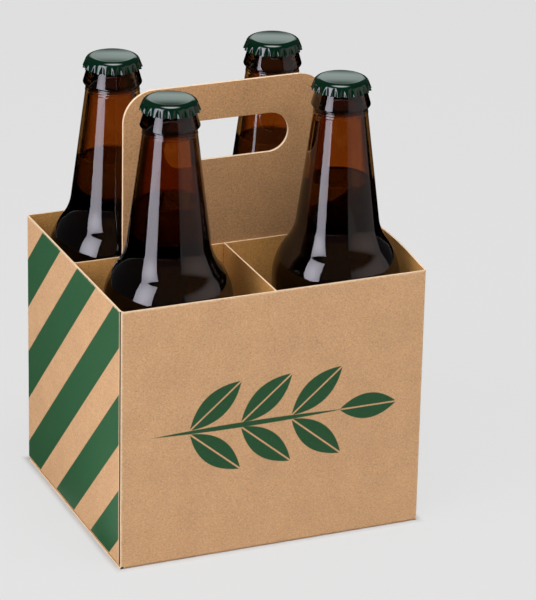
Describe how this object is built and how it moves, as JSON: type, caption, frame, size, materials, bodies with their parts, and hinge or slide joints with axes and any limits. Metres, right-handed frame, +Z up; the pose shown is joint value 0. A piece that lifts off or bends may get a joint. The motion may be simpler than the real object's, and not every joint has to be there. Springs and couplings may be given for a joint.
{
  "type": "bottle carrier pack",
  "caption": "Open kraft card carrier with a central hand slot handle and interlocking partitions, holding capped amber glass bottles upright in its cells.",
  "frame": {"origin": "middle of the carrier's underside", "axes": "+Z up, +X to the right along the front wall, +Y from the front wall to the back wall"},
  "size_m": [0.155, 0.133, 0.222],
  "materials": {
    "outer_card": "matt uncoated kraft with green print",
    "inner_card": "matt uncoated kraft",
    "amber_glass": "gloss amber glass",
    "drink": "clear dark amber liquid",
    "cap_enamel": "gloss dark green enamel",
    "cap_seal": "matt pale grey"
  },
  "bodies": {
    "root": {"carrier_box": "outer_card", "divider": "inner_card", "cross_partition": "inner_card", "handle_panel": "inner_card", "bottle_front_left": "amber_glass", "bottle_front_right": "amber_glass", "bottle_back_left": "amber_glass", "bottle_back_right": "amber_glass", "drink_front_left": "drink", "drink_front_right": "drink", "drink_back_left": "drink", "drink_back_right": "drink", "crown_cap_front_left": "cap_enamel", "crown_cap_front_right": "cap_enamel", "crown_cap_back_left": "cap_enamel", "crown_cap_back_right": "cap_enamel", "cap_liner_front_left": "cap_seal", "cap_liner_front_right": "cap_seal", "cap_liner_back_left": "cap_seal", "cap_liner_back_right": "cap_seal"}
  },
  "joints": []
}
